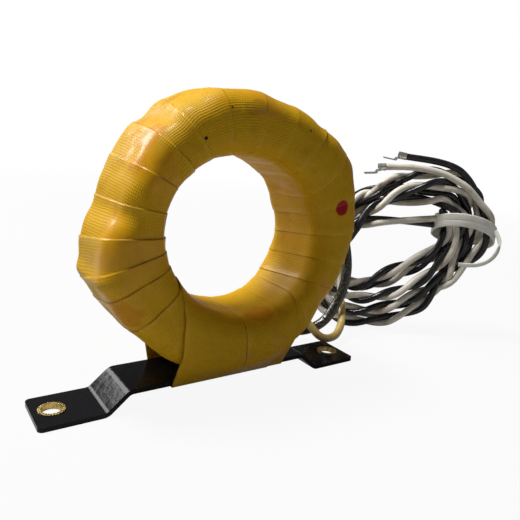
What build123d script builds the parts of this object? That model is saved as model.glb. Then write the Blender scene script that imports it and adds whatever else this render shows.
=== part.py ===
from build123d import *
from math import cos, radians, sin, tan
import os

# Ring (window type) current transformer, bound with tape to a joggled steel strap.
# Frame: origin under the middle of the strap, on the plane its two feet stand on.
# +X runs along the strap, +Z is up, and the window's axis lies along Y.
# All sizes are in millimetres.

# ---- mounting strap -------------------------------------------------------------------
strap_length = 164.0
strap_width = 25.4
strap_thickness = 2.1
strap_rise = 8.2  # clearance under the raised middle
strap_bend_foot_x = 55.0  # where a foot's flat ends
strap_bend_top_x = 45.5  # where the raised middle begins
strap_bend_r = 4.5
strap_corner_r = 2.2
hole_spacing = 148.0
hole_d = 9.0

# ---- eyelets in the strap's holes -----------------------------------------------------
eyelet_bore_d = 8.2
eyelet_flange_d = 11.0
eyelet_flange_thickness = 0.4

# ---- taped ring -----------------------------------------------------------------------
ring_outer_d = 124.5
window_d = 73.6
ring_depth = 45.0
ring_edge_r = 10.4
ring_offset_x = 4.0  # the ring is bound a little off the strap's middle
ring_seat_gap = 0.15
outer_tape_wall = 0.9
winding_wrap_wall = 0.4
winding_wall = 1.9
core_wrap_wall = 2.6
liner_wall = 0.5

# ---- binding tape round the ring's foot and the strap ---------------------------------
binding_wall = 0.6
binding_width_left = 31.0
binding_width_right = 28.0
binding_seam_gap = 0.05

# ---- winding tails, splices and sleeves -----------------------------------------------
tail_d = 1.8
tail_hole_clearance = 0.3
splice_d = 2.9
splice_length = 6.0
splice_gap = 0.1
black_sleeve_d = 5.8
black_sleeve_wall = 0.7
yellow_sleeve_d = 4.6
yellow_sleeve_wall = 0.6
exit_r = 49.5  # where the tails leave the ring's back face, from the window's axis
black_exit_angle = -50.0
yellow_exit_angle = -37.0

# ---- leads, hank, terminals and tie ---------------------------------------------------
lead_d = 4.0
hank_origin = (103.0, 44.0)
hank_heading = (0.7926, -0.6097)
hank_thickness = 16.0
hank_edge_r = 5.0
hank_limb_inner = 66.0  # the tied limb, measured along the hank's heading
hank_limb_outer = 106.0
terminal_barrel_d = 4.4
terminal_barrel_bore_d = 2.4
terminal_barrel_length = 4.6
terminal_tongue_length = 8.2
terminal_tongue_width = 6.4
terminal_tongue_thickness = 0.8
terminal_slot_width = 3.7
terminal_slot_length = 4.8
terminal_drop = 1.4
tie_width = 8.0
tie_wall = 1.0
tie_clearance = 0.4
tie_centre_z = 70.1
tie_tail_width = 2.4
tie_tail_thickness = 0.8

# ---- values worked out from the ones above --------------------------------------------
strap_top_z = strap_rise + strap_thickness
ring_r = ring_outer_d / 2
window_r = window_d / 2
ring_z = strap_top_z + ring_seat_gap + ring_r
ring_half_depth = ring_depth / 2
core_inset = outer_tape_wall + winding_wrap_wall + winding_wall + core_wrap_wall

os.makedirs("parts", exist_ok=True)


def save(shape, node):
    export_step(shape, f"parts/{node}.step")


# ---- mounting strap: flat steel bar with two joggles ----------------------------------
def make_strap():
    mid = strap_thickness / 2
    half = strap_length / 2
    right = [
        (strap_bend_top_x, 0, strap_rise + mid),
        (strap_bend_foot_x, 0, mid),
        (half, 0, mid),
    ]
    left = [(-x, y, z) for x, y, z in reversed(right)]
    line = FilletPolyline(*left, *right, radius=strap_bend_r)
    start = Plane(origin=line @ 0, x_dir=(0, 1, 0), z_dir=line % 0)
    bar = sweep(start * Rectangle(strap_width, strap_thickness), path=line)
    outline = extrude(RectangleRounded(strap_length, strap_width, strap_corner_r), amount=strap_top_z)
    bar = bar & outline
    for side in (-1, 1):
        hole = Cylinder(hole_d / 2, 3 * strap_thickness)
        bar = bar - Pos(side * hole_spacing / 2, 0, mid) * hole
    return bar


save(make_strap(), "mounting_strap")


# ---- eyelets: thin flanged bushes pressed into the strap's two holes -------------------
def make_eyelet():
    barrel = Cylinder(hole_d / 2, strap_thickness, align=(Align.CENTER, Align.CENTER, Align.MIN))
    flange = Cylinder(
        eyelet_flange_d / 2,
        eyelet_flange_thickness,
        align=(Align.CENTER, Align.CENTER, Align.MIN),
    )
    bush = barrel + Pos(0, 0, strap_thickness) * flange
    bore = Cylinder(eyelet_bore_d / 2, 4 * strap_thickness)
    return bush - bore


for side, name in ((-1, "left"), (1, "right")):
    save(Pos(side * hole_spacing / 2, 0, 0) * make_eyelet(), f"foot_eyelet_{name}")


# ---- the ring's layers ----------------------------------------------------------------
ring_axis_plane = Plane(origin=(ring_offset_x, 0, ring_z), x_dir=(1, 0, 0), z_dir=(0, -1, 0))


def ring_section(inset, edge_r):
    """A ring's cross-section, inset from the finished surface, in radius and depth."""
    radial = ring_r - window_r - 2 * inset
    middle = (ring_r + window_r) / 2
    depth = ring_depth - 2 * inset
    if edge_r > 0:
        flat = RectangleRounded(radial, depth, edge_r)
    else:
        flat = Rectangle(radial, depth)
    return Plane.XZ * Pos(middle, 0) * flat


def ring_body(inset, square=False):
    edge_r = 0 if square else ring_edge_r - inset
    return revolve(ring_section(inset, edge_r), Axis.Z)


def on_ring(shape):
    """Places a ring made about Z onto the window's axis, which lies along Y."""
    return ring_axis_plane * shape


def ring_point(radius, angle, depth):
    """A point on the ring, from its radius, its angle above +X and its place along Y."""
    a = radians(angle)
    return (ring_offset_x + radius * cos(a), depth, ring_z + radius * sin(a))


layer_insets = [
    0.0,
    outer_tape_wall,
    outer_tape_wall + winding_wrap_wall,
    outer_tape_wall + winding_wrap_wall + winding_wall,
]
tape_layer = on_ring(ring_body(layer_insets[0]) - ring_body(layer_insets[1]))
wrap_layer = on_ring(ring_body(layer_insets[1]) - ring_body(layer_insets[2]))
winding = on_ring(ring_body(layer_insets[2]) - ring_body(layer_insets[3]))
core_wrap = on_ring(ring_body(layer_insets[3]) - ring_body(core_inset, square=True))

tail_exits = {
    "black": ring_point(exit_r, black_exit_angle, ring_half_depth),
    "yellow": ring_point(exit_r, yellow_exit_angle, ring_half_depth),
}
tail_hole = Cylinder(tail_d / 2 + tail_hole_clearance, 4 * (outer_tape_wall + winding_wrap_wall))
for exit_point in tail_exits.values():
    drilled = Pos(*exit_point) * Rot(90, 0, 0) * tail_hole
    tape_layer = tape_layer - drilled
    wrap_layer = wrap_layer - drilled

save(tape_layer, "outer_tape")
save(wrap_layer, "winding_wrap")
save(winding, "secondary_winding")
save(core_wrap, "core_wrap")


# ---- core: strip-wound steel ring in pressboard liners --------------------------------
def tube_ring(inner_r, outer_r, depth):
    return Cylinder(outer_r, depth) - Cylinder(inner_r, depth)


core_box_inner_r = window_r + core_inset
core_box_outer_r = ring_r - core_inset
core_box_depth = ring_depth - 2 * core_inset
core_depth = core_box_depth - 2 * liner_wall
liner_inner = tube_ring(core_box_inner_r, core_box_inner_r + liner_wall, core_depth)
liner_outer = tube_ring(core_box_outer_r - liner_wall, core_box_outer_r, core_depth)
end_ring = tube_ring(core_box_inner_r, core_box_outer_r, liner_wall)
core = tube_ring(core_box_inner_r + liner_wall, core_box_outer_r - liner_wall, core_depth)
end_ring_place = (core_depth + liner_wall) / 2

save(on_ring(core), "wound_core")
save(on_ring(liner_inner), "core_liner_inner")
save(on_ring(liner_outer), "core_liner_outer")
save(on_ring(Pos(0, 0, end_ring_place) * end_ring), "core_end_ring_front")
save(on_ring(Pos(0, 0, -end_ring_place) * end_ring), "core_end_ring_back")


# ---- binding: two wraps of tape through the window and under the strap -----------------
def binding_envelope(grow):
    """The ring and a taut skirt down to the strap, each grown by one wall."""
    ring = on_ring(ring_body(-grow))
    top_z = ring_z - ring_r + 2 * ring_edge_r
    bottom_z = strap_rise - grow
    half_top = ring_half_depth + grow
    half_bottom = strap_width / 2 + grow
    skirt = Polyline(
        (-half_top, top_z),
        (-half_bottom, bottom_z),
        (half_bottom, bottom_z),
        (half_top, top_z),
        close=True,
    )
    width = 2 * (binding_width_left + binding_width_right)
    prism = extrude(Plane.YZ * make_face(skirt), amount=width, both=True)
    return ring + prism


def make_bindings():
    strap_core = Pos(0, 0, strap_rise) * Box(
        2 * strap_bend_top_x,
        strap_width,
        strap_thickness,
        align=(Align.CENTER, Align.CENTER, Align.MIN),
    )
    skin = binding_envelope(binding_wall) - binding_envelope(0) - on_ring(ring_body(0)) - strap_core
    bands = []
    for start, width in (
        (ring_offset_x - binding_width_left, binding_width_left - binding_seam_gap),
        (ring_offset_x, binding_width_right),
    ):
        slab = Pos(start, 0, 0) * Box(
            width,
            2 * ring_depth,
            ring_z - 5,
            align=(Align.MIN, Align.CENTER, Align.MIN),
        )
        bands.append(skin & slab)
    return bands


binding_left, binding_right = make_bindings()
save(binding_left, "binding_tape_left")
save(binding_right, "binding_tape_right")


# ---- sleeves, tails and splices behind the ring ---------------------------------------
def bend_radii(points):
    """Each corner's largest arc: 0.45 of its shorter run over the tangent of half the turn."""
    radii = []
    for before, here, after in zip(points, points[1:], points[2:]):
        run_in = Vector(*here) - Vector(*before)
        run_out = Vector(*after) - Vector(*here)
        turn = radians(run_in.get_angle(run_out))
        radii.append(0.45 * min(run_in.length, run_out.length) / tan(turn / 2))
    return radii


def cord_line(points, name):
    if len(points) == 2:
        return Line(*points)
    radii = bend_radii(points)
    print(name, "bend radii", [round(r, 1) for r in radii])
    return FilletPolyline(*points, radius=radii)


def round_tube(line, outer_d, bore_d=0.0):
    start = Plane(origin=line @ 0, z_dir=line % 0)
    tube = sweep(start * Circle(outer_d / 2), path=line)
    if bore_d:
        tube = tube - sweep(start * Circle(bore_d / 2), path=line)
    return tube


def along(start, end, distance):
    """The point that far from start towards end."""
    run = Vector(*end) - Vector(*start)
    point = Vector(*start) + run.normalized() * distance
    return (point.X, point.Y, point.Z)


def straight_out(point, distance):
    """The point that far straight out of the ring's back face."""
    return (point[0], point[1] + distance, point[2])


black_route = [
    tail_exits["black"],
    straight_out(tail_exits["black"], 12),
    (44, 38, 22),
    (57, 33, 9),
    (71, 25, 4.2),
    (86, 20, 8.2),
    (96, 19.5, 20),
    (101.5, 19.5, 34),
    (102, 20.5, 48),
    (102, 25, 58),
]
yellow_route = [
    tail_exits["yellow"],
    straight_out(tail_exits["yellow"], 9),
    (54, 32, 30),
    (66, 26, 20.5),
    (73.5, 17.5, 12.5),
    (76.5, 9, 5.4),
    (86, 7.4, 5.2),
    (95, 12.5, 9),
    (101, 18.5, 14.5),
    (104.4, 24.5, 20),
]
splice_setback = 1.0


def sleeved_tail(name, route, sleeve_d, sleeve_wall):
    """A sleeve, the winding tail inside it and the crimped splice near its far end."""
    sleeve = round_tube(cord_line(route, name), sleeve_d, sleeve_d - 2 * sleeve_wall)
    last_run = (Vector(*route[-1]) - Vector(*route[-2])).length
    splice_start = last_run - splice_setback - splice_length
    splice_from = along(route[-2], route[-1], splice_start)
    splice_to = along(route[-2], route[-1], splice_start + splice_length)
    tail_end = along(route[-2], route[-1], splice_start - splice_gap)
    inside = ring_half_depth - outer_tape_wall - winding_wrap_wall
    tail_start = (route[0][0], inside, route[0][2])
    tail_route = [tail_start] + route[1:-1] + [tail_end]
    tail = round_tube(cord_line(tail_route, name + " tail"), tail_d)
    splice = round_tube(Line(splice_from, splice_to), splice_d, tail_d - 0.4)
    return sleeve, tail, splice


black_sleeve, finish_tail, finish_splice = sleeved_tail(
    "black sleeve", black_route, black_sleeve_d, black_sleeve_wall
)
yellow_sleeve, start_tail, start_splice = sleeved_tail(
    "yellow sleeve", yellow_route, yellow_sleeve_d, yellow_sleeve_wall
)
save(black_sleeve, "black_sleeve")
save(yellow_sleeve, "yellow_sleeve")
save(finish_tail, "winding_finish_tail")
save(start_tail, "winding_start_tail")
save(finish_splice, "finish_splice")
save(start_splice, "start_splice")

# ---- hank: the coiled leads as one closed loop, standing on its lower edge -------------
hank_plane = Plane(
    origin=(*hank_origin, 0),
    x_dir=(*hank_heading, 0),
    z_dir=(hank_heading[1], -hank_heading[0], 0),
)
hank_outer = [
    (-12, 34),
    (0, 0.6),
    (27, 0.6),
    (56, 13),
    (84, 37),
    (hank_limb_outer, 62),
    (hank_limb_outer, 79),
    (92, 102),
    (73, 110),
    (56, 108),
    (50, 100),
    (24, 90),
    (-12, 62),
]
hank_inner = [
    (10, 36),
    (20, 29),
    (38, 42),
    (hank_limb_inner, 58),
    (hank_limb_inner, 79),
    (50, 73),
    (22, 61),
    (10, 53),
]


def loop_face(points, share=0.55):
    """A closed outline whose corners keep that share of the largest arc they could have."""
    closed = points[-1:] + points + points[:1]
    radii = [share * r for r in bend_radii([(x, y, 0) for x, y in closed])]
    return make_face(FilletPolyline(*points, radius=radii, close=True))


def make_hank():
    loop = loop_face(hank_outer) - loop_face(hank_inner)
    body = extrude(hank_plane * loop, amount=hank_thickness / 2, both=True)
    rims = body.faces().filter_by(Axis(hank_plane.origin, hank_plane.z_dir)).edges()
    return fillet(rims, hank_edge_r)


hank = make_hank()
save(hank, "lead_hank")


def past_end(route, distance):
    """The point that far beyond a route's end, straight on."""
    run = (Vector(*route[-1]) - Vector(*route[-2])).length
    return along(route[-2], route[-1], run + distance)


def hank_point(s, z, out):
    """A point of the hank, along its heading, up, and out of its plane."""
    point = hank_plane.from_local_coords(Vector(s, z, out))
    return (point.X, point.Y, point.Z)


# ---- leads where they are not coiled --------------------------------------------------
black_entry_route = [
    black_route[-1],
    past_end(black_route, 6),
    hank_point(3, 70, 6),
]
white_entry_route = [yellow_route[-1], past_end(yellow_route, 9)]
white_end_route = [hank_point(55, 104.6, 3), hank_point(43, 104.6, 3), hank_point(31.5, 103.3, 3)]
black_end_route = [hank_point(62, 106, -2), hank_point(54, 108.8, -2), hank_point(43.5, 110.2, -2)]

for node, route in (
    ("black_lead_entry", black_entry_route),
    ("white_lead_entry", white_entry_route),
    ("white_lead_end", white_end_route),
    ("black_lead_end", black_end_route),
):
    save(round_tube(cord_line(route, node), lead_d) - hank, node)


# ---- terminals: uninsulated fork lugs on the leads' free ends --------------------------
def make_terminal():
    """A fork lug along +X, its barrel's mouth at the origin and its tongue lowered."""
    barrel = Rot(0, 90, 0) * (
        Cylinder(terminal_barrel_d / 2, terminal_barrel_length)
        - Cylinder(terminal_barrel_bore_d / 2, terminal_barrel_length)
    )
    barrel = Pos(terminal_barrel_length / 2, 0, 0) * barrel
    neck_z = (terminal_tongue_thickness - terminal_barrel_d) / 2
    tongue_z = neck_z - terminal_drop
    end_x = terminal_barrel_length + terminal_tongue_length
    neck = Polyline(
        (terminal_barrel_length - 1.0, 0, neck_z),
        (terminal_barrel_length + 0.6, 0, neck_z),
        (terminal_barrel_length + 1.4, 0, tongue_z),
        (end_x, 0, tongue_z),
    )
    strip = sweep(
        Plane(origin=neck @ 0, x_dir=(0, 1, 0), z_dir=(1, 0, 0))
        * Rectangle(terminal_tongue_width, terminal_tongue_thickness),
        path=neck,
        transition=Transition.RIGHT,
    )
    slot = Pos(end_x, 0, tongue_z) * Box(
        2 * terminal_slot_length, terminal_slot_width, 3 * terminal_tongue_thickness
    )
    slot_end = Pos(end_x - terminal_slot_length, 0, tongue_z) * Cylinder(
        terminal_slot_width / 2, 3 * terminal_tongue_thickness
    )
    bore = Rot(0, 90, 0) * Cylinder(terminal_barrel_bore_d / 2, 2 * terminal_barrel_length)
    return barrel + strip - bore - slot - slot_end


def place_terminal(route):
    """The lug continues its lead's last run, with its tongue as level as that allows."""
    heading = (Vector(*route[-1]) - Vector(*route[-2])).normalized()
    across = Vector(0, 0, 1).cross(heading).normalized()
    return Plane(origin=route[-1], x_dir=heading, z_dir=heading.cross(across))


save(place_terminal(white_end_route) * make_terminal(), "white_lead_terminal")
save(place_terminal(black_end_route) * make_terminal(), "black_lead_terminal")


# ---- tie: a flat band round the hank's far limb, with a curled tail --------------------
def make_tie():
    limb_width = hank_limb_outer - hank_limb_inner
    limb_middle = (hank_limb_outer + hank_limb_inner) / 2
    inner_w = limb_width + 2 * tie_clearance
    inner_t = hank_thickness + 2 * tie_clearance
    band_plane = Plane(
        origin=hank_point(limb_middle, tie_centre_z - tie_width / 2, 0),
        x_dir=hank_plane.x_dir,
        z_dir=(0, 0, 1),
    )
    outer = RectangleRounded(inner_w + 2 * tie_wall, inner_t + 2 * tie_wall, hank_edge_r + tie_wall)
    inner = RectangleRounded(inner_w, inner_t, hank_edge_r)
    band = extrude(band_plane * (outer - inner), amount=tie_width)
    wall_middle = hank_thickness / 2 + tie_clearance + tie_wall / 2
    tail_line = FilletPolyline(
        hank_point(99, tie_centre_z, wall_middle),
        hank_point(101.5, 59, wall_middle),
        hank_point(98, 51, wall_middle),
        hank_point(90, 47.5, wall_middle),
        hank_point(82, 48.5, wall_middle),
        radius=3.5,
    )
    start = Plane(origin=tail_line @ 0, x_dir=hank_plane.z_dir, z_dir=tail_line % 0)
    tail = sweep(start * Rectangle(tie_tail_thickness, tie_tail_width), path=tail_line)
    return band + tail


save(make_tie(), "lead_tie")
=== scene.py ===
import bmesh
import bpy
import numpy as np
from math import asin, atan2, ceil, cos, degrees, hypot, pi, radians, sin, sqrt
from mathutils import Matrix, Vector, noise
from mathutils.geometry import convex_hull_2d
from mathutils.kdtree import KDTree


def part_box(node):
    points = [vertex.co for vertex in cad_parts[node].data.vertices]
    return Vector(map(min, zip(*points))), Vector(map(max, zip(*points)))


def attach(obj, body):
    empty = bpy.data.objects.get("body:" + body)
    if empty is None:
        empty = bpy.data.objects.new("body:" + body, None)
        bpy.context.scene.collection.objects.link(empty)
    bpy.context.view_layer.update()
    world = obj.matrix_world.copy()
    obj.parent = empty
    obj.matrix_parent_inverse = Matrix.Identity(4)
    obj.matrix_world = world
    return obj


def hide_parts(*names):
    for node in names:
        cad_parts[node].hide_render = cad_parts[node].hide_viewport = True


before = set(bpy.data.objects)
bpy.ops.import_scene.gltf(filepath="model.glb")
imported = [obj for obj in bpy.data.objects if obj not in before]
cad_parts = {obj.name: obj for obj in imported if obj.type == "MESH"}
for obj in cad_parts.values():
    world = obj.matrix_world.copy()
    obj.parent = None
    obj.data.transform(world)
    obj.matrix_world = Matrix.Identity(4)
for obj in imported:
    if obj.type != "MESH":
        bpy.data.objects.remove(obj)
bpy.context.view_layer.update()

# ---- camera, table and lamps ----------------------------------------------------------
# The part stands on a pale table in a plain light room. One soft lamp hangs high on the
# left, a second behind shines through the window, and a weak one fills the front.
camera_data = bpy.data.cameras.new("camera")
camera_data.sensor_width = 36.0
camera_data.lens = 37.44
camera_data.clip_start = 0.01
camera = bpy.data.objects.new("camera", camera_data)
camera.location = (-0.12299, -0.20773, 0.11968)
camera.rotation_euler = (radians(76.327), radians(-4.593), radians(-34.048))
bpy.context.scene.collection.objects.link(camera)
bpy.context.scene.camera = camera
bpy.context.scene.view_settings.view_transform = "Standard"


class Wire:
    """A socket in a material. Arithmetic on it adds the Math nodes that work it out."""

    def __init__(self, tree, socket=None):
        self.tree = tree
        self.socket = socket

    def node(self, kind, settings=None, inputs=None, output=0):
        made = self.tree.nodes.new("ShaderNode" + kind)
        for name, value in (settings or {}).items():
            setattr(made, name, value)
        for name, value in (inputs or {}).items():
            if isinstance(value, Wire):
                self.tree.links.new(value.socket, made.inputs[name])
            else:
                made.inputs[name].default_value = value
        return Wire(self.tree, made.outputs[output])

    def maths(self, operation, *values):
        return self.node("Math", {"operation": operation}, dict(enumerate(values)))

    def __add__(self, other):
        return self.maths("ADD", self, other)

    def __radd__(self, other):
        return self.maths("ADD", other, self)

    def __sub__(self, other):
        return self.maths("SUBTRACT", self, other)

    def __rsub__(self, other):
        return self.maths("SUBTRACT", other, self)

    def __mul__(self, other):
        return self.maths("MULTIPLY", self, other)

    def __rmul__(self, other):
        return self.maths("MULTIPLY", other, self)

    def part(self, name):
        return Wire(self.tree, self.socket.node.outputs[name])

    def between(self, low, high):
        """0 below low, 1 above high, and smooth between them."""
        steps = {"Value": self, "From Min": low, "From Max": high}
        return self.node("MapRange", {"interpolation_type": "SMOOTHSTEP"}, steps)


def new_material(name):
    material = bpy.data.materials.new(name)
    material.use_nodes = True
    material.node_tree.nodes.clear()
    return material, Wire(material.node_tree)


def close_material(wires, shader):
    out = wires.tree.nodes.new("ShaderNodeOutputMaterial")
    wires.tree.links.new(shader.socket, out.inputs["Surface"])


def seen_directly(wires, glossy_share):
    """1 for what the camera sees, straight or through glass, and a share in reflections."""
    path = wires.node("LightPath")
    straight = path.part("Is Camera Ray") + path.part("Is Transmission Ray")
    return straight + glossy_share * path.part("Is Glossy Ray")


table_pale = (0.42, 0.42, 0.41, 1)
table, wires = new_material("pale_table")
plain = wires.node("BsdfDiffuse", None, {"Color": table_pale})
lit = wires.node("Emission", None, {"Color": (1, 1, 1, 1), "Strength": 1.0})
spread = wires.node("TexCoord").part("Object")
away = wires.node("VectorMath", {"operation": "LENGTH"}, {0: spread}, "Value")
share = (0.92 + 0.08 * away.between(0.25, 1.2)) * seen_directly(wires, 0.15)
close_material(wires, wires.node("MixShader", None, {0: share, 1: plain, 2: lit}))

floor_shape = bmesh.new()
bmesh.ops.create_grid(floor_shape, x_segments=2, y_segments=2, size=4.0)
floor_mesh = bpy.data.meshes.new("table_top")
floor_shape.to_mesh(floor_mesh)
floor_mesh.materials.append(table)
table_top = bpy.data.objects.new("table_top", floor_mesh)
bpy.context.scene.collection.objects.link(table_top)

room = bpy.data.worlds.new("room")
bpy.context.scene.world = room
room.use_nodes = True
room.node_tree.nodes.clear()
wires = Wire(room.node_tree)
room_light = 0.07
strength = room_light + (1 - room_light) * seen_directly(wires, 0.1)
sky = wires.node("Background", None, {"Color": (1, 1, 1, 1), "Strength": strength})
world_out = room.node_tree.nodes.new("ShaderNodeOutputWorld")
room.node_tree.links.new(sky.socket, world_out.inputs["Surface"])


def hang_lamp(name, place, aim, size, power):
    data = bpy.data.lights.new(name, "AREA")
    data.shape = "DISK"
    data.size = size
    data.energy = power
    lamp = bpy.data.objects.new(name, data)
    lamp.location = place
    lamp.rotation_euler = (Vector(aim) - Vector(place)).to_track_quat("-Z", "Y").to_euler()
    bpy.context.scene.collection.objects.link(lamp)


hang_lamp("high_lamp", (-0.27, 0.20, 1.00), (0.02, 0, 0.07), 0.3, 13.0)
hang_lamp("back_lamp", (-0.37, 0.80, 0.60), (0.02, 0, 0.07), 0.5, 6.0)
hang_lamp("fill_lamp", (0.45, -1.0, 0.55), (0.04, 0, 0.06), 0.8, 0.62)


# ---- leads: a twisted black and white pair wound up in a hank --------------------------
# Two single-core wires of 4 mm over the insulation, one black, one off-white, twisted
# loosely together, then wound five and a half times into a standing hank. Each starts in
# its sleeve behind the ring and ends on top of the hank in a crimped fork terminal.
lead_d = 0.004
hank_corner = Vector((0.103, 0.044, 0))
hank_along = Vector((0.7926, -0.6097, 0))
hank_out = Vector((-0.6097, -0.7926, 0))


def in_hank(s, z, out):
    """A point s mm along the hank, z mm up and out mm towards its front."""
    return hank_corner + 0.001 * (s * hank_along + out * hank_out + Vector((0, 0, z)))


# Stations round the hank, anticlockwise from its left limb: inner s, z and outer s, z.
stations = [
    (12, 52, -9, 50),
    (11, 40, -7, 27),
    (18, 29, 3, 3.5),
    (28, 32, 30, 2.5),
    (39, 41, 53, 8),
    (51, 50, 74, 22),
    (62, 56, 90, 45),
    (68, 64, 102, 61),
    (68, 73, 103, 77),
    (60, 76, 95, 95),
    (50, 71, 80, 107),
    (37, 66, 60, 107),
    (24, 62, 38, 99),
    (14, 58, 6, 80),
]
# Each turn's share of the way from the inner to the outer outline, and its place in depth.
turns = [
    (
        [0.5, 0.4, 0.3, 0.15, 0.1, 0.15, 0.22, 0.25, 0.25, 0.2, 0.16, 0.2, 0.3, 0.4],
        [3, 3, 2, 1, 0, 1, 2, 3, 3, 2, 3, 4, 4, 3],
    ),
    (
        [0.6, 0.8, 0.9, 0.9, 0.85, 0.85, 0.8, 0.7, 0.75, 0.9, 0.95, 0.9, 0.85, 0.9],
        [0, -3, -4, -4, -3, -3, -2, -3, -3, -3, -4, -5, -4, -4],
    ),
    (
        [0.8, 0.5, 0.4, 0.45, 0.5, 0.55, 0.5, 0.45, 0.45, 0.45, 0.45, 0.5, 0.6, 0.6],
        [-3, 0, 3, 5, 5, 4, 4, 3, 3, 4, 2, 0, -2, -3],
    ),
    (
        [0.75, 0.95, 1.0, 1.0, 1.0, 0.95, 0.62, 0.6, 0.6, 0.55, 0.6, 0.65, 0.75, 0.8],
        [4, 4, 3, 1, 0, 1, 1, 1, 0, -1, -1, -2, 0, 1],
    ),
    (
        [0.4, 0.2, 0.15, 0.3, 0.35, 0.3, 0.4, 0.5, 0.62, 0.72, 0.76, 0.74, 0.6, 0.3],
        [-4, -5, -5, -5, -5, -4, -4, -4, -4, 0, 3, 5, 4, 2],
    ),
    (
        [0.3, 0.5, 0.7, 0.75, 0.7, 0.75, 0.9, 0.97, 0.97, 0.75],
        [2, 3, 4, 5, 4, 3, 2, 1, 0, 0],
    ),
]
pair_points = []
for shares, depths in turns:
    for (s0, z0, s1, z1), share, depth in zip(stations, shares, depths):
        pair_points.append(in_hank(s0 + share * (s1 - s0), z0 + share * (z1 - z0), depth))


def smooth_curve(name, points):
    data = bpy.data.curves.new(name, "CURVE")
    data.dimensions = "3D"
    spline = data.splines.new("NURBS")
    spline.points.add(len(points) - 1)
    for knot, point in zip(spline.points, points):
        knot.co = (*point, 1)
    spline.order_u = 3
    spline.use_endpoint_u = True
    curve = bpy.data.objects.new(name, data)
    bpy.context.scene.collection.objects.link(curve)
    return curve


def follow(points, step):
    """Points read along a smooth line, evenly that far apart."""
    curve = smooth_curve("route", points)
    curve.data.splines[0].resolution_u = 12
    bpy.context.view_layer.update()
    mesh = bpy.data.meshes.new_from_object(curve)
    line = np.array([v.co for v in mesh.vertices])
    bpy.data.meshes.remove(mesh)
    bpy.data.objects.remove(curve)
    along = np.concatenate([[0], np.cumsum(np.linalg.norm(np.diff(line, axis=0), axis=1))])
    places = np.linspace(0, along[-1], int(ceil(along[-1] / step)) + 1)
    return np.stack([np.interp(places, along, line[:, k]) for k in range(3)], axis=1)


twist_pitch = 0.043
twist_r = 0.00225
strand_step = 0.0025
pair_line = follow(pair_points, strand_step)
run = np.gradient(pair_line, axis=0)
run /= np.linalg.norm(run, axis=1)[:, None]
side = np.cross(run, np.array(hank_out))
side /= np.linalg.norm(side, axis=1)[:, None]
lift = np.cross(side, run)
turned = 2 * pi * np.arange(len(pair_line)) * strand_step / twist_pitch
turned += 0.5 * np.sin(turned * 0.23)
loose = twist_r * (1.15 + 0.3 * np.sin(turned * 0.17 + 1.0))
offset = loose[:, None] * (np.cos(turned)[:, None] * side + np.sin(turned)[:, None] * lift)

black_start = [
    Vector((0.102, 0.025, 0.058)),
    Vector((0.102, 0.0275, 0.0635)),
    in_hank(7, 72, 10),
    in_hank(1, 79, 6),
    in_hank(-6, 77, 3),
    in_hank(-9, 67, 2),
]
white_start = [
    Vector((0.1044, 0.0245, 0.020)),
    Vector((0.1079, 0.0306, 0.0256)),
    in_hank(11, 36, 6),
    in_hank(8, 50, 6),
    in_hank(3, 64, 5),
    in_hank(-3, 70, 3),
    in_hank(-7, 62, 1),
]
white_finish = [
    in_hank(78, 97, 4),
    in_hank(67, 103.5, 4),
    in_hank(55, 104.8, 3),
    in_hank(43, 104.6, 3),
    in_hank(31.5, 103.3, 3),
]
black_finish = [
    in_hank(86, 100, -2),
    in_hank(75, 107.5, -2),
    in_hank(62, 109.5, -2),
    in_hank(54, 109.4, -2),
    in_hank(43.5, 110.2, -2),
]


def joined(start, helix, finish):
    """One strand, from its own start through the hank to its own end."""
    first = follow(start + [Vector(helix[4])], strand_step)
    last = follow([Vector(helix[-9])] + finish, strand_step)
    return np.concatenate([first[:-1], helix[4:-8], last[1:]])


black_line = joined(black_start, pair_line + offset, black_finish)
white_line = joined(white_start, pair_line - offset, white_finish)

# The strands press on each other, the table and the tie for 110 rounds, to push them out of one another.
strands = np.concatenate([black_line, white_line])
home = strands.copy()
whose = np.concatenate([np.zeros(len(black_line), int), np.ones(len(white_line), int)])
place_on = np.concatenate([np.arange(len(black_line)), np.arange(len(white_line))])
strand_count = np.array([len(black_line), len(white_line)])[whose]
far_from_end = np.minimum(place_on, strand_count - 1 - place_on)
free = np.clip((far_from_end - 2) / 8, 0, 1)[:, None]
own_span = 6
same_strand = whose[:, None] == whose[None, :]
near_on_itself = same_strand & (np.abs(place_on[:, None] - place_on[None, :]) < own_span)
axis_s, axis_o = np.array(hank_along), np.array(hank_out)
tie_mid_s, tie_half_s, tie_half_out = 0.0845, 0.0168, 0.0066
contact = lead_d * 1.02
for _ in range(110):
    gap = strands[:, None, :] - strands[None, :, :]
    distance = np.linalg.norm(gap, axis=2)
    distance[near_on_itself] = 1.0
    push = np.clip(contact - distance, 0, None) / np.maximum(distance, 1e-6)
    crowd = np.maximum((push > 0).sum(axis=1), 1)[:, None]
    strands += free * 0.9 * (gap * push[:, :, None]).sum(axis=1) / crowd
    inner = (whose[1:-1] == whose[:-2]) & (whose[1:-1] == whose[2:])
    pulled = 0.5 * (strands[:-2] + strands[2:]) - strands[1:-1]
    strands[1:-1] += 0.28 * free[1:-1] * inner[:, None] * pulled
    strands += 0.012 * free * (home - strands)
    rel = strands - np.array(hank_corner)
    s, o = rel @ axis_s, rel @ axis_o
    at_tie = np.exp(-(((strands[:, 2] - 0.0685 - o) / 0.008) ** 2)) * (s > 0.055)
    reach = np.hypot((s - tie_mid_s) / tie_half_s, o / tie_half_out)
    inward = at_tie * np.clip(1 - 1 / np.maximum(reach, 1e-6), 0, None)
    strands -= free * inward[:, None] * ((s - tie_mid_s)[:, None] * axis_s + o[:, None] * axis_o)
    strands[:, 2] = np.maximum(strands[:, 2], lead_d / 2 + 0.0002)


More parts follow.
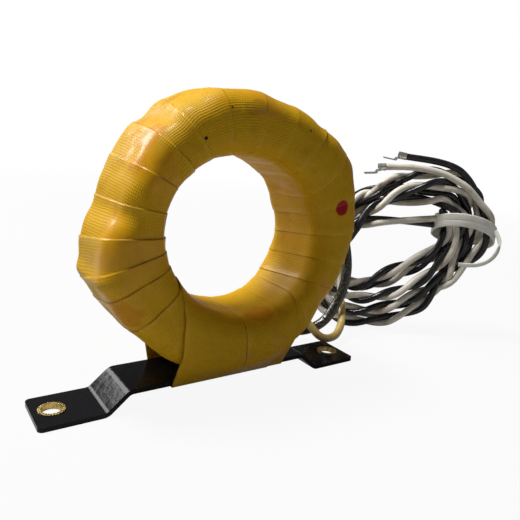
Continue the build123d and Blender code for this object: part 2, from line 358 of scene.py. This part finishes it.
def lead(name, points):
    curve = smooth_curve(name, points)
    curve.data.bevel_depth = lead_d / 2
    curve.data.bevel_resolution = 4
    curve.data.splines[0].resolution_u = 4
    curve.data.use_fill_caps = True
    return curve


black_lead = lead("black_lead", np.concatenate([strands[: len(black_line)][::2][:-1], black_line[-1:]]))
white_lead = lead("white_lead", np.concatenate([strands[len(black_line) :][::2][:-1], white_line[-1:]]))


def insulation(name, base, soiled, roughness):
    """Extruded plastic with a little dirt and handling shine on it."""
    material, wires = new_material(name)
    place = wires.node("TexCoord").part("Object")
    blotch = wires.node("TexNoise", None, {"Vector": place, "Scale": 90.0, "Detail": 4.0})
    grain = wires.node("TexNoise", None, {"Vector": place, "Scale": 900.0, "Detail": 2.0})
    dirt = blotch.between(0.45, 0.75)
    colour = wires.node("Mix", {"data_type": "RGBA"}, {0: dirt, 6: (*base, 1), 7: (*soiled, 1)}, 2)
    bump = wires.node("Bump", None, {"Height": grain, "Strength": 0.12, "Distance": 0.0003})
    gloss = roughness + 0.16 * blotch
    shader = wires.node(
        "BsdfPrincipled",
        None,
        {"Base Color": colour, "Roughness": gloss, "Normal": bump, "Specular IOR Level": 0.42},
    )
    close_material(wires, shader)
    return material


black_insulation = insulation("black_insulation", (0.008, 0.008, 0.010), (0.022, 0.021, 0.020), 0.16)
white_insulation = insulation("white_insulation", (0.74, 0.69, 0.60), (0.52, 0.45, 0.36), 0.24)
black_lead.data.materials.append(black_insulation)
white_lead.data.materials.append(white_insulation)
for piece, slot in ((black_lead, "black_lead"), (white_lead, "white_lead")):
    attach(piece, "root")
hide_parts("black_lead_entry", "black_lead_end", "lead_hank")
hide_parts("white_lead_entry", "white_lead_end")


# ---- fork terminals -------------------------------------------------------------------
# Uninsulated fork lugs stamped from tinned copper sheet. Each barrel is crimped on a
# lead's bared end, and its tongue steps down to the flat, slotted fork.
def metal(name, base, worn, roughness, grain_scale, grain_depth):
    """Bare or plated metal with dull spots and fine scratches."""
    material, wires = new_material(name)
    place = wires.node("TexCoord").part("Object")
    blotch = wires.node("TexNoise", None, {"Vector": place, "Scale": grain_scale, "Detail": 5.0})
    grain = wires.node("TexNoise", None, {"Vector": place, "Scale": 6 * grain_scale, "Detail": 3.0})
    dull = blotch.between(0.4, 0.68)
    colour = wires.node("Mix", {"data_type": "RGBA"}, {0: dull, 6: (*base, 1), 7: (*worn, 1)}, 2)
    height = grain + blotch
    bump = wires.node("Bump", None, {"Height": height, "Strength": 0.5, "Distance": grain_depth})
    gloss = roughness + 0.22 * dull
    shader = wires.node(
        "BsdfPrincipled",
        None,
        {"Base Color": colour, "Metallic": 1.0, "Roughness": gloss, "Normal": bump},
    )
    close_material(wires, shader)
    return material


def wear(material, *names):
    """Gives CAD pieces a material in place of the plain one they come with."""
    for name in names:
        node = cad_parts[name]
        node.data.materials.clear()
        node.data.materials.append(material)


tin = metal("tinned_copper", (0.76, 0.74, 0.69), (0.42, 0.40, 0.36), 0.22, 420.0, 0.0001)
wear(tin, "white_lead_terminal", "black_lead_terminal")


# ---- tie round the hank ---------------------------------------------------------------
# A flat ribbed strip of off-white plastic, wrapped twice round the hank's right limb and
# twisted off, with its loose end hanging in a bow below.
tie_strip_w = 0.0041
tie_thick = 0.0011
tie_points = []
wrap_steps = 18
for n in range(int(2.1 * wrap_steps)):
    a = 2 * pi * n / wrap_steps - 0.6
    along = 84.5 + 19.4 * cos(a)
    depth = 9.3 * sin(a)
    rise = 68.5 + 8.0 * sin(a) - 1.6 * cos(a) + 3.9 * (n / wrap_steps - 1.0)
    tie_points.append(in_hank(along, rise, depth))
tie_wrap = smooth_curve("tie_wrap", tie_points)
tie_tail = smooth_curve(
    "tie_tail",
    [
        in_hank(101.0, 71, 6.5),
        in_hank(104.5, 66, 9.5),
        in_hank(103, 57, 10.2),
        in_hank(97.5, 51, 10.0),
        in_hank(89, 48.5, 9.6),
        in_hank(82, 48.8, 8.9),
    ],
)
tie_plastic = insulation("tie_plastic", (0.80, 0.79, 0.71), (0.60, 0.58, 0.48), 0.3)
for strip, width in ((tie_wrap, tie_strip_w), (tie_tail, 0.0026)):
    strip.data.twist_mode = "Z_UP"
    strip.data.extrude = width / 2 - tie_thick / 2
    strip.data.bevel_depth = tie_thick / 2
    strip.data.bevel_resolution = 3
    strip.data.splines[0].resolution_u = 6
    strip.data.use_fill_caps = True
    strip.data.materials.append(tie_plastic)
    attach(strip, "root")
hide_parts("lead_tie")


# ---- sleeves on the winding's ends -----------------------------------------------------
# Varnished woven sleeving slipped over each splice: a stiff black one that bends down and
# up behind the ring, and a smaller yellow one that loops under it to the strap.
def sleeving(name, base, thread, roughness):
    """Braided sleeving filled with varnish, with its threads showing through."""
    material, wires = new_material(name)
    place = wires.node("TexCoord").part("Object")
    braid = wires.node("TexVoronoi", None, {"Vector": place, "Scale": 800.0}, "Distance")
    blotch = wires.node("TexNoise", None, {"Vector": place, "Scale": 130.0, "Detail": 3.0})
    mark = braid.between(0.45, 0.8) * blotch
    colour = wires.node("Mix", {"data_type": "RGBA"}, {0: mark, 6: (*base, 1), 7: (*thread, 1)}, 2)
    bump = wires.node("Bump", None, {"Height": braid, "Strength": 0.45, "Distance": 0.0004})
    gloss = roughness + 0.2 * blotch
    shader = wires.node(
        "BsdfPrincipled",
        None,
        {"Base Color": colour, "Roughness": gloss, "Normal": bump, "Coat Weight": 0.3},
    )
    close_material(wires, shader)
    return material


black_sleeving = sleeving("black_sleeving", (0.010, 0.010, 0.008), (0.10, 0.09, 0.05), 0.14)
yellow_sleeving = sleeving("yellow_sleeving", (0.52, 0.36, 0.10), (0.62, 0.48, 0.2), 0.22)
black_route = [
    (35.8, 22.0, 34.8),
    (35.8, 27.5, 34.8),
    (43, 29.5, 27),
    (57, 29, 11),
    (71, 25, 4.2),
    (86, 20, 8.2),
    (96, 19.5, 20),
    (101.5, 19.5, 34),
    (102, 20.5, 48),
    (102, 25, 58),
]
yellow_route = [
    (43.5, 22.0, 42.9),
    (43.5, 26.5, 42.9),
    (54, 27.5, 32),
    (66, 25, 20.5),
    (73.5, 17.5, 12.5),
    (76.5, 9, 5.4),
    (86, 7.4, 5.2),
    (95, 12.5, 9),
    (101, 18.5, 14.5),
    (104.4, 24.5, 20),
]
for colour, route, width, finish in (
    ("black", black_route, 0.0058, black_sleeving),
    ("yellow", yellow_route, 0.0046, yellow_sleeving),
):
    tube = smooth_curve(colour + "_sleeve_tube", [0.001 * Vector(point) for point in route])
    tube.data.bevel_depth = width / 2
    tube.data.bevel_resolution = 6
    tube.data.splines[0].resolution_u = 12
    tube.data.use_fill_caps = True
    tube.data.materials.append(finish)
    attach(tube, "root")
    colour + "_sleeving"
    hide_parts(colour + "_sleeve")

# ---- mounting strap -------------------------------------------------------------------
# Flat steel bar, joggled twice so that its middle stands clear of the panel, then
# dipped in gloss black paint that has gathered dust and fine rubs.
paint, wires = new_material("gloss_black_paint")
place = wires.node("TexCoord").part("Object")
peel = wires.node("TexNoise", None, {"Vector": place, "Scale": 260.0, "Detail": 2.0})
rubs = wires.node("TexNoise", None, {"Vector": place, "Scale": 55.0, "Detail": 8.0, "Roughness": 0.7})
dust = wires.node("TexNoise", None, {"Vector": place, "Scale": 1500.0, "Detail": 1.0})
grey = rubs.between(0.55, 0.85) * 0.35 + dust.between(0.68, 0.74) * 0.3
paint_colour = wires.node(
    "Mix", {"data_type": "RGBA"}, {0: grey, 6: (0.006, 0.006, 0.007, 1), 7: (0.040, 0.039, 0.036, 1)}, 2
)
paint_bump = wires.node("Bump", None, {"Height": peel, "Strength": 0.25, "Distance": 0.0004})
shader = wires.node(
    "BsdfPrincipled",
    None,
    {
        "Base Color": paint_colour,
        "Roughness": 0.10 + 0.14 * rubs,
        "Normal": paint_bump,
        "Specular IOR Level": 0.13,
    },
)
close_material(wires, shader)
wear(paint, "mounting_strap")

# ---- eyelets in the strap's feet ---------------------------------------------------------
# Spun brass eyelets, bright where the flare is rolled over the hole's edge and specked
# with old varnish.
brass = metal("eyelet_brass", (0.83, 0.62, 0.24), (0.40, 0.26, 0.06), 0.16, 500.0, 0.0003)
wear(brass, "foot_eyelet_left", "foot_eyelet_right")

# ---- core and winding, inside the tape -------------------------------------------------
# A strip-wound steel ring in pressboard, built round with crepe paper, wound with enamelled
# copper and closed with film tape. None of it shows, but each has its own finish.


def layered(name, base, groove, pitch, direction, roughness, metallic):
    """Strip, paper or wire laid in fine turns."""
    material, wires = new_material(name)
    place = wires.node("TexCoord").part("Object")
    settings = {"wave_type": "RINGS" if direction == "RING" else "BANDS"}
    if direction == "RING":
        settings["rings_direction"] = "Y"
    else:
        settings["bands_direction"] = direction
    centred = wires.node("Mapping", None, {"Vector": place, "Location": (-0.004, 0, -0.0727)})
    wave = wires.node("TexWave", settings, {"Vector": centred, "Scale": 0.314 / pitch, "Distortion": 0.6}, 1)
    colour = wires.node("Mix", {"data_type": "RGBA"}, {0: wave, 6: (*groove, 1), 7: (*base, 1)}, 2)
    bump = wires.node("Bump", None, {"Height": wave, "Strength": 0.6, "Distance": 0.0002})
    shader = wires.node(
        "BsdfPrincipled",
        None,
        {"Base Color": colour, "Roughness": roughness + 0.15 * wave, "Metallic": metallic, "Normal": bump},
    )
    close_material(wires, shader)
    return material


film_tape = layered("film_tape", (0.75, 0.62, 0.30), (0.55, 0.42, 0.16), 0.006, "Y", 0.25, 0.0)
crepe = layered("crepe_wrap", (0.70, 0.60, 0.42), (0.50, 0.40, 0.26), 0.0012, "Y", 0.7, 0.0)
wear(layered("core_steel", (0.45, 0.45, 0.46), (0.20, 0.20, 0.21), 0.0003, "RING", 0.3, 1.0), "wound_core")
copper = layered("enamelled_copper", (0.60, 0.25, 0.12), (0.25, 0.08, 0.03), 0.0008, "Y", 0.2, 1.0)
tail_d = 0.0018
tail_from_y = 20.6
for name, route, sleeve_share in (
    ("finish_tail", black_route, 0.353),
    ("start_tail", yellow_route, 0.195),
):
    # Each tail keeps to the middle of its sleeve and stops just short of its splice.
    before_end, at_end = Vector(route[-2]), Vector(route[-1])
    inside = Vector((route[0][0], tail_from_y, route[0][2]))
    stop = before_end.lerp(at_end, sleeve_share)
    line = [inside] + [Vector(point) for point in route[1:-1]] + [stop]
    tail = smooth_curve(name, [0.001 * point for point in line])
    tail.data.bevel_depth = tail_d / 2
    tail.data.bevel_resolution = 4
    tail.data.splines[0].resolution_u = 12
    tail.data.use_fill_caps = True
    tail.data.materials.append(copper)
    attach(tail, "root")
    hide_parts("winding_" + name)
pressboard = layered("pressboard", (0.55, 0.42, 0.26), (0.45, 0.33, 0.19), 0.0009, "X", 0.8, 0.0)
wear(pressboard, "core_liner_inner", "core_liner_outer", "core_end_ring_front", "core_end_ring_back")
wear(tin, "finish_splice", "start_splice")

# ---- outer tape: varnished cloth lapped round the ring ---------------------------------
# Yellow varnished woven tape, pulled tight round the ring by hand in some seventeen turns
# that overlap more in the window than outside. Each turn's edge stands proud, the cloth
# bridges flat between edges, and varnish has pooled amber in places.
tape_lo, tape_hi = (Vector(corner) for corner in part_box("outer_tape"))
ring_centre = 0.5 * (tape_lo + tape_hi)
ring_r = 0.5 * (tape_hi.x - tape_lo.x)
half_depth = 0.5 * (tape_hi.y - tape_lo.y)
window_r = 0.0368
edge_r = 0.0104
tape_thick = 0.00042
step_w = 0.00012

# Edges of the turns, in degrees round the window's axis from +X: at the window's front
# edge, the rim's front edge, the rim's back edge and the window's back edge. The fifth
# number is how proud the edge stands, as a share of the tape's thickness.
tape_edges = [
    (-46, -53, -50, -47, 0.7),
    (-32, -27, -31, -38, 0.8),
    (-15, -14.5, -16, -22, 0.7),
    (1.5, 2, 0, -7, 0.8),
    (17, 19, 17, 9.5, 0.6),
    (31, 38, 35, 25, 0.6),
    (54, 52, 47, 46, 0.9),
    (72, 70, 66, 63, 0.2),
    (90, 88, 82, 80, 0.2),
    (108, 106, 100, 99, 0.5),
    (121, 125.5, 115, 114, 0.4),
    (134, 136, 131, 129, 0.8),
    (148, 149.3, 147, 144, 0.9),
    (162, 164.2, 165, 163, 0.9),
    (175.4, 176.6, 183, 179, 1.3),
    (183.3, 189, 199, 192, 1.0),
    (193.3, 199.5, 208, 204, 0.9),
    (210, 214.5, 220, 218, 0.9),
    (228, 232, 236, 234, 0.3),
    (246, 250, 254, 252, 0.3),
    (262, 266, 270, 268, 0.3),
    (280, 284, 287, 285, 0.3),
    (297, 295, 299, 298, 0.3),
]
tape_edges.append((*(a + 360 for a in tape_edges[0][:4]), tape_edges[0][4]))

# How far the built-up rim and window stand off true circles, as harmonics of the angle:
# order, cosine part and sine part in mm.
rim_swell = [(2, -0.67, 1.59), (3, 0.34, 1.31), (4, 0.77, 1.58), (5, -0.40, -1.16)]
window_swell = [(2, 1.10, -2.27), (3, -0.13, 0.42), (4, -0.35, 0)]


# Corners and dips in them: angle and half width in degrees, and height in mm.
rim_corners = [
    (32, 5, 1.2),
    (54, 6, -1.6),
    (91, 8, 1.3),
    (115, 6, -1.4),
    (127, 6, -2.4),
    (168, 6, -2.0),
    (194, 3.5, 1.9),
]
window_corners = [(132, 14, -1.2), (20, 10, -0.8), (0, 8, 0.6)]


def swell(harmonics, bumps, angle):
    total = sum(c * cos(n * angle) + s * sin(n * angle) for n, c, s in harmonics)
    for middle_at, width, height in bumps:
        off = (degrees(angle) - middle_at + 180) % 360 - 180
        total += height * 2.718 ** (-((off / width) ** 2))
    return 0.001 * total


def eased(value, low, high):
    t = min(1.0, max(0.0, (value - low) / (high - low)))
    return t * t * (3 - 2 * t)


def foot_share(angle):
    """1 in the middle of the ring's foot, where the binding covers it, and 0 away from it."""
    off = abs((degrees(angle) + 90 + 180) % 360 - 180)
    return 1 - eased(off, 33, 52)


def rim_offset(angle):
    return swell(rim_swell, rim_corners, angle) * (1 - foot_share(angle))


def window_offset(angle):
    return swell(window_swell, window_corners, angle)


section = bmesh.new()
corners = []
for r, y in ((window_r, -half_depth), (ring_r, -half_depth), (ring_r, half_depth), (window_r, half_depth)):
    corners.append(section.verts.new(ring_centre + Vector((r, y, 0))))
for n in range(4):
    section.edges.new((corners[n], corners[(n + 1) % 4]))
bmesh.ops.bevel(
    section, geom=section.verts[:], offset=edge_r, affect="VERTICES", segments=15, profile=0.5, material=-1
)
for long_side, cuts in ((0.02, 24), (0.003, 4)):
    longest = 0.03 if cuts > 4 else 0.01
    flats = [e for e in section.edges if long_side < e.calc_length() < longest]
    bmesh.ops.subdivide_edges(section, edges=flats, cuts=cuts)

# Arc length round the section, from the middle of the window's side towards the front.
ordered = [min(section.verts, key=lambda v: (v.co.x - ring_centre.x, abs(v.co.y)))]
before = None
while True:
    around = [e.other_vert(ordered[-1]) for e in ordered[-1].link_edges]
    if before is None:
        ahead = min(around, key=lambda v: v.co.y)
    else:
        ahead = around[0] if around[0] is not before else around[1]
    before = ordered[-1]
    if ahead is ordered[0]:
        break
    ordered.append(ahead)
girth = [0.0]
for a, b in zip(ordered, ordered[1:] + ordered[:1]):
    girth.append(girth[-1] + (b.co - a.co).length)
profile_tree = KDTree(len(ordered))
for n, v in enumerate(ordered):
    profile_tree.insert((v.co.x - ring_centre.x, v.co.y, 0), n)
profile_tree.balance()
profile_normal = []
for n, v in enumerate(ordered):
    chord = ordered[(n + 1) % len(ordered)].co - ordered[n - 1].co
    profile_normal.append(Vector((chord.y, -chord.x)).normalized())
middle = Vector((0.5 * (window_r + ring_r), 0))
for n, v in enumerate(ordered):
    outward = Vector((v.co.x - ring_centre.x, v.co.y)) - middle
    if profile_normal[n].dot(outward) < 0:
        profile_normal[n] = -profile_normal[n]

# Columns round the ring: each turn of tape has its own, close together at its edge.
columns = []
mean_edge = [sum(edge[:4]) / 4 for edge in tape_edges]
for turn in range(len(tape_edges) - 1):
    width = radians(mean_edge[turn + 1] - mean_edge[turn]) * 0.05
    count = int(round(radians(mean_edge[turn + 1] - mean_edge[turn]) / (2 * pi) * 440))
    inside = 0.00045 / width
    columns.append((turn, 0.0))
    for n in range(count):
        columns.append((turn, inside + (1 - 2 * inside) * n / (count - 1)))
    columns.append((turn, 1 - step_w / width))
steps = len(columns)
bmesh.ops.spin(
    section,
    geom=section.verts[:] + section.edges[:],
    cent=ring_centre,
    axis=(0, -1, 0),
    angle=2 * pi,
    steps=steps,
    use_merge=True,
)
uv = section.loops.layers.uv.new("tape")
section.verts.ensure_lookup_table()
where = {}
for v in section.verts:
    local = v.co - ring_centre
    column = int(round(atan2(local.z, local.x) / (2 * pi) * steps)) % steps
    row = profile_tree.find((hypot(local.x, local.z), local.y, 0))[1]
    where[v] = (column, row)


def edge_angle(turn, r_share, y_share):
    wf, rf, rb, wb = tape_edges[turn][:4]
    front = wf + (rf - wf) * r_share
    back = wb + (rb - wb) * r_share
    return radians(front + (back - front) * y_share)


profile = [(v.co.x - ring_centre.x, v.co.y) for v in ordered]
across = {}
for v, (column, row) in where.items():
    turn, share = columns[column]
    r, y = profile[row]
    r_share = (r - window_r) / (ring_r - window_r)
    y_share = 0.5 + 0.5 * y / half_depth
    start, end = edge_angle(turn, r_share, y_share), edge_angle(turn + 1, r_share, y_share)
    angle = start + (end - start) * share
    across[v] = (share * (end - start) * r, (end - start) * r, 0.0007 * (1 - min(1, tape_edges[turn][4])))
    covered = foot_share(angle)
    proud = tape_edges[turn][4]
    lap = tape_thick * proud * (1 - share) * (1 - 0.8 * covered)
    bridge = 0.45 * r * (1 - cos((end - start) / 2)) * 4 * share * (1 - share) * eased(r_share, 0.35, 1.0)
    bridge *= 1 - covered
    spot = Vector((r * cos(angle), y, r * sin(angle)))
    dent = 0.0006 * noise.noise(spot * 48) + 0.00028 * noise.noise(spot * 130 + Vector((3, 1, 7)))
    crease_at = Vector((angle * r * 170, girth[row] * 22, turn * 3.7))
    crease = 0.00022 * abs(noise.noise(crease_at)) * (1.25 - r_share)
    stand = lap - bridge + (dent - crease) * (1 - 0.7 * covered) - 0.0008 * covered
    out_r = profile_normal[row].x * stand
    out_y = profile_normal[row].y * stand
    lobe = window_offset(angle) * (1 - r_share) + rim_offset(angle) * r_share
    rr = r + out_r + lobe
    v.co = ring_centre + Vector((rr * cos(angle), y + out_y, rr * sin(angle)))
rows = len(ordered)
for face in section.faces:
    face.smooth = True
    cols = [where[v][0] for v in face.verts]
    wraps = max(where[v][1] for v in face.verts) - min(where[v][1] for v in face.verts) > rows // 2
    owners = {columns[c][0] for c in cols}
    for loop in face.loops:
        column, row = where[loop.vert]
        length = girth[row] + (girth[-1] if wraps and row < rows // 2 else 0)
        over, width, hidden = across[loop.vert]
        over += hidden
        if len(owners) > 1 and columns[column][1] > 0.5:
            over -= width
        loop[uv].uv = (length * 1000, over * 1000)
bmesh.ops.recalc_face_normals(section, faces=section.faces)
tape_mesh = bpy.data.meshes.new("lapped_tape")
section.to_mesh(tape_mesh)
lapped_tape = bpy.data.objects.new("lapped_tape", tape_mesh)
bpy.context.scene.collection.objects.link(lapped_tape)


def swollen_shell(name, inset, wall, material, stands_for):
    """A layer under the tape, a closed shell that swells and dips as the tape does."""
    shape = bmesh.new()
    for inside in (inset, inset + wall):
        near_r, far_r, deep = window_r + inside, ring_r - inside, half_depth - inside
        ring = []
        for r, y in ((near_r, -deep), (far_r, -deep), (far_r, deep), (near_r, deep)):
            ring.append(shape.verts.new(ring_centre + Vector((r, y, 0))))
        for n in range(4):
            shape.edges.new((ring[n], ring[(n + 1) % 4]))
        bmesh.ops.bevel(
            shape,
            geom=ring,
            offset=edge_r - inside,
            affect="VERTICES",
            segments=8,
            profile=0.5,
            material=-1,
        )
    bmesh.ops.spin(
        shape,
        geom=shape.verts[:] + shape.edges[:],
        cent=ring_centre,
        axis=(0, -1, 0),
        angle=2 * pi,
        steps=180,
        use_merge=True,
    )
    bmesh.ops.recalc_face_normals(shape, faces=shape.faces)
    for v in shape.verts:
        local = v.co - ring_centre
        r, angle = hypot(local.x, local.z), atan2(local.z, local.x)
        r_share = (r - window_r) / (ring_r - window_r)
        covered = foot_share(angle)
        rr = r + window_offset(angle) * (1 - r_share) + rim_offset(angle) * r_share
        drawn_in = 0.0009 * covered - 0.0012 * (1 - covered) * eased(r_share, 0.5, 1.0)
        rr += drawn_in * (1 - 2 * r_share * covered)
        v.co = ring_centre + Vector((rr * cos(angle), local.y * (1 - 0.04 * covered), rr * sin(angle)))
    for face in shape.faces:
        face.smooth = True
    mesh = bpy.data.meshes.new(name)
    shape.to_mesh(mesh)
    mesh.materials.append(material)
    shell = bpy.data.objects.new(name, mesh)
    bpy.context.scene.collection.objects.link(shell)
    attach(shell, "root")
    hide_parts(stands_for)


swollen_shell("film_wrap", 0.0011, 0.0003, film_tape, "winding_wrap")
swollen_shell("copper_winding", 0.0015, 0.0019, copper, "secondary_winding")
swollen_shell("crepe_build_up", 0.0036, 0.0018, crepe, "core_wrap")

rib_pitch = 1.05
thread_pitch = 1.2
cloth_yellow = (0.64, 0.355, 0.003, 1)
cloth_amber = (0.58, 0.22, 0.002, 1)
cloth_dark = (0.25, 0.135, 0.004, 1)
seam_brown = (0.16, 0.075, 0.004, 1)
speck_black = (0.02, 0.012, 0.006, 1)
dot_red = (0.33, 0.004, 0.006, 1)
cloth, wires = new_material("varnished_tape")
place = wires.node("TexCoord").part("Object")
lie = wires.node("UVMap", {"uv_map": "tape"})
pair = wires.node("SeparateXYZ", None, {"Vector": lie})
along, over = pair.part("X"), pair.part("Y")
slow = wires.node("TexNoise", None, {"Vector": place, "Scale": 38.0, "Detail": 3.0})
middling = wires.node("TexNoise", None, {"Vector": place, "Scale": 150.0, "Detail": 4.0})
fine = wires.node("TexNoise", None, {"Vector": place, "Scale": 900.0, "Detail": 2.0})
drift = 9.0 * slow + 1.6 * middling
rib = (along * (2 * pi / rib_pitch) + drift).maths("SINE", along * (2 * pi / rib_pitch) + drift)
thread = (over * (2 * pi / thread_pitch)).maths("SINE", over * (2 * pi / thread_pitch) + drift)
filled = slow.between(0.52, 0.66)
near_edge = 1 - over.between(0.5, 3.5)
smoothed = filled.maths("MAXIMUM", filled, 0.6 * near_edge)
bare = 1 - 0.8 * smoothed
weave = bare * (0.5 + 0.3 * rib + 0.2 * thread)


def near(points, radius, ragged=0.35):
    """1 at each of the points, given in mm, and 0 beyond the radius from it."""
    total = 0.0
    for point in points:
        gap = wires.node(
            "VectorMath", {"operation": "DISTANCE"}, {0: place, 1: tuple(0.001 * c for c in point)}, "Value"
        )
        shape = gap * 1000 + ragged * radius * (2 * middling - 1)
        total = total + (1 - shape.between(0.75 * radius, radius))
    return total.maths("MINIMUM", total, 1.0)


def blend(share, under, over_it):
    return wires.node("Mix", {"data_type": "RGBA"}, {0: share, 6: under, 7: over_it}, 2)


pool_places = [(-44, -14, 117), (-52, -16, 107), (-53, -20, 44), (-45, -18, 125), (14, -16, 41)]
pools = near(pool_places, 9.0, 0.7)
amber_share = (0.75 * pools).maths("MAXIMUM", 0.75 * pools, 0.45 * slow.between(0.5, 0.7))
colour = blend(amber_share, cloth_yellow, cloth_amber)
colour = blend(0.22 * middling.between(0.5, 0.8), colour, cloth_dark)
# painted shade: where the bare weave sinks, in the low places of its bump, the colour is pulled towards
# cloth_dark
colour = blend(0.30 * bare * (0.5 - 0.35 * rib - 0.15 * thread), colour, cloth_dark)
seam = (1 - over.between(0.0, 0.7)) * middling.between(0.35, 0.6)
colour = blend(0.5 * seam, colour, seam_brown)
smudges = near([(3.5, -22, 128), (1.0, -22, 129), (-2, -22, 127.5)], 3.2, 0.9)
colour = blend(0.3 * smudges, colour, seam_brown)
speck_places = [
    (-58, -2, 53),
    (-11, -22.5, 127),
    (-22, -22.5, 114.5),
    (40, -22.5, 118),
    (29, -22.5, 120.5),
    (18.5, -22.5, 126),
    (37, -22.5, 97.8),
]
specks = near(speck_places, 0.72, 0.6)
colour = blend(specks, colour, speck_black)
dot = near([(51.8, -22.6, 86.8)], 4.3, 0.12)
colour = blend(dot, colour, dot_red)
height = weave + 0.5 * middling
cloth_bump = wires.node("Bump", None, {"Height": height, "Strength": 0.9, "Distance": 0.00016})
shader = wires.node(
    "BsdfPrincipled",
    None,
    {
        "Base Color": colour,
        "Roughness": 0.34 + 0.16 * bare + 0.1 * fine,
        "Normal": cloth_bump,
        "Coat Weight": 0.04 + 0.24 * smoothed,
        "Coat Roughness": 0.12,
        "Specular IOR Level": 0.13,
    },
)
close_material(wires, shader)
tape_mesh.materials.append(cloth)
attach(lapped_tape, "root")
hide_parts("outer_tape")

# ---- binding tape ---------------------------------------------------------------------
# Two wraps of the same tape, side by side, pulled taut through the window and under the
# strap's raised middle. They hold the ring on the strap, and meet in a seam in front.
binding_wall = 0.0006
band_rows = 300
strap_edge_y = 0.0127 + binding_wall
strap_under_z = 0.0082 - binding_wall


def binding_line(x):
    """The taut loop round the ring's foot and the strap, in Y and Z, at one place along X."""
    dx = x - ring_centre.x
    angle = -0.5 * pi + asin(dx / window_r)
    grown = edge_r + binding_wall
    inner = window_r - binding_wall + window_offset(angle)
    points = [(strap_edge_y, strap_under_z), (-strap_edge_y, strap_under_z)]
    for n in range(31):
        a = 0.5 * pi * n / 30
        y = half_depth - edge_r + grown * sin(a)
        top = inner + grown - grown * cos(a)
        foot = ring_r - edge_r + grown * cos(a)
        for sign in (-1, 1):
            points.append((sign * y, ring_centre.z - sqrt(top * top - dx * dx)))
            points.append((sign * y, ring_centre.z - sqrt(foot * foot - dx * dx)))
    hull = [Vector(points[n]) for n in convex_hull_2d(points)]
    lowest = min(range(len(hull)), key=lambda n: (hull[n] - Vector((-strap_edge_y, strap_under_z))).length)
    hull = hull[lowest:] + hull[:lowest]
    if hull[1].y < hull[0].y + 1e-6:
        hull = hull[:1] + hull[:0:-1]
    return hull + hull[:1]


def make_band(name, x_from, x_to, laps):
    shape = bmesh.new()
    bmesh.ops.create_grid(shape, x_segments=44, y_segments=band_rows, size=0.5)
    layer = shape.loops.layers.uv.new("tape")
    lines = {}
    sheet_at = {}
    for v in shape.verts:
        share_x, share_l = v.co.x + 0.5, v.co.y + 0.5
        x = x_from + (x_to - x_from) * share_x
        key = round(share_x, 4)
        if key not in lines:
            line = np.array(binding_line(x))
            gone = np.concatenate([[0], np.cumsum(np.linalg.norm(np.diff(line, axis=0), axis=1))])
            lines[key] = (line, gone)
        line, gone = lines[key]
        place_l = share_l * gone[-1]
        y, z = np.interp(place_l, gone, line[:, 0]), np.interp(place_l, gone, line[:, 1])
        ahead = min(place_l + 0.0004, gone[-1])
        behind = max(place_l - 0.0004, 0)
        run_y = np.interp(ahead, gone, line[:, 0]) - np.interp(behind, gone, line[:, 0])
        run_z = np.interp(ahead, gone, line[:, 1]) - np.interp(behind, gone, line[:, 1])
        out = Vector((-run_z, run_y)).normalized()
        toward = Vector((y, z)) - Vector((0, 0.5 * (line[:, 1].min() + line[:, 1].max())))
        if out.dot(toward) < 0:
            out = -out
        sheet_at[v] = (place_l, x - x_from)
        stand = 0.0
        for lap in laps:
            stand -= 0.00035 * eased(x - x_from, lap, lap + 0.00025)
        spot = Vector((x, y, z))
        ends = min(1.0, min(place_l, gone[-1] - place_l) / 0.004)
        ripple = 0.00012 * noise.noise(Vector((x * 240, place_l * 40, 5)))
        stand += ends * (0.0003 * noise.noise(spot * 60) + ripple)
        v.co = Vector((x, y + out.x * stand, z + out.y * stand))
    for face in shape.faces:
        face.smooth = True
        for loop in face.loops:
            place_l, over_l = sheet_at[loop.vert]
            loop[layer].uv = (place_l * 1000, over_l * 1000)
    bmesh.ops.remove_doubles(shape, verts=shape.verts[:], dist=0.00004)
    bmesh.ops.recalc_face_normals(shape, faces=shape.faces)
    middle_y = sum(f.normal.dot(f.calc_center_median() - Vector((x_from, 0, 0.03))) for f in shape.faces)
    if middle_y < 0:
        bmesh.ops.reverse_faces(shape, faces=shape.faces)
    mesh = bpy.data.meshes.new(name)
    shape.to_mesh(mesh)
    mesh.materials.append(cloth)
    band = bpy.data.objects.new(name, mesh)
    bpy.context.scene.collection.objects.link(band)
    wall = band.modifiers.new("wall", "SOLIDIFY")
    wall.thickness = 0.00055
    wall.offset = -1
    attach(band, "root")
    return band


left_lo, left_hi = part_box("binding_tape_left")
right_lo, right_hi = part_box("binding_tape_right")
left_band = make_band("binding_left", left_lo[0], left_hi[0], [])
right_band = make_band("binding_right", right_lo[0] + 0.0001, right_hi[0], [0.019])
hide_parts("binding_tape_left")
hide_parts("binding_tape_right")
